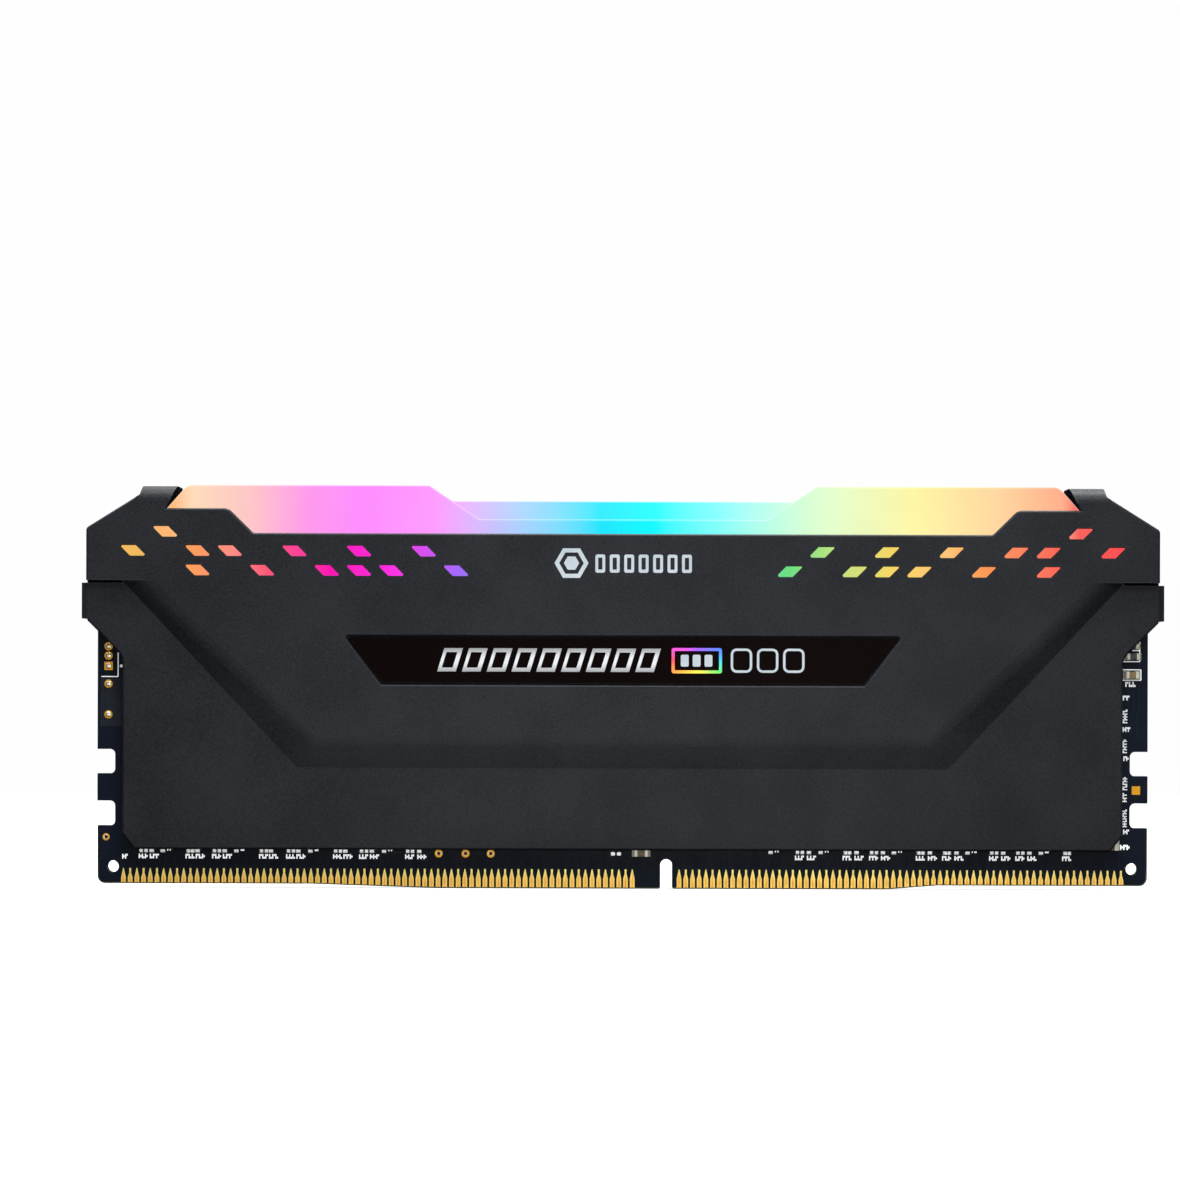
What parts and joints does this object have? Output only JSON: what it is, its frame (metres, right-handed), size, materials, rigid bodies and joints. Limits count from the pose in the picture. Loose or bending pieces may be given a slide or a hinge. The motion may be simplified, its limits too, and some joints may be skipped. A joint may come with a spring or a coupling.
{
  "type": "memory module",
  "caption": "Desktop memory module: a circuit board with a gold edge connector between two stamped heat spreaders, with a glowing translucent light bar along the top.",
  "frame": {"origin": "under the middle of the connector edge, in the board's middle plane", "axes": "+X along the module, +Y from the show side to the rear, +Z from the connector edge to the light bar"},
  "size_m": [0.137, 0.008, 0.051],
  "materials": {
    "coated_aluminium": "fine matte black coating",
    "diffuser": "frosted translucent, lit from inside",
    "solder_mask": "satin solder mask on glass epoxy",
    "gold_plating": "bright gold plating",
    "gloss_plate": "gloss black",
    "thermal_pad": "soft matte",
    "solder": "bright tin",
    "chip_epoxy": "matte moulded epoxy",
    "ferrite": "matte ferrite",
    "resistor_body": "glazed black",
    "capacitor_ceramic": "matte tan",
    "led_package": "white package, lit"
  },
  "bodies": {
    "root": {"circuit_board": "solder_mask", "front_contacts": "gold_plating", "rear_contacts": "gold_plating", "test_pads": "gold_plating", "front_heat_spreader": "coated_aluminium", "rear_heat_spreader": "coated_aluminium", "light_bar": "diffuser", "front_nameplate": "gloss_plate", "rear_label": "gloss_plate", "front_thermal_pad": "thermal_pad", "rear_thermal_pad": "thermal_pad", "dram_solder_balls": "solder", "spd_eeprom": "chip_epoxy", "led_controller": "chip_epoxy", "boost_regulator": "chip_epoxy", "boost_inductor": "ferrite", "resistor_arrays": "resistor_body", "chip_resistors": "resistor_body", "bypass_capacitors": "capacitor_ceramic", "bulk_capacitors": "capacitor_ceramic", "dram_chip_1": "chip_epoxy", "dram_chip_2": "chip_epoxy", "dram_chip_3": "chip_epoxy", "dram_chip_4": "chip_epoxy", "dram_chip_5": "chip_epoxy", "dram_chip_6": "chip_epoxy", "dram_chip_7": "chip_epoxy", "dram_chip_8": "chip_epoxy", "led_1": "led_package", "led_2": "led_package", "led_3": "led_package", "led_4": "led_package", "led_5": "led_package", "led_6": "led_package", "led_7": "led_package", "led_8": "led_package", "led_9": "led_package", "led_10": "led_package"}
  },
  "joints": []
}
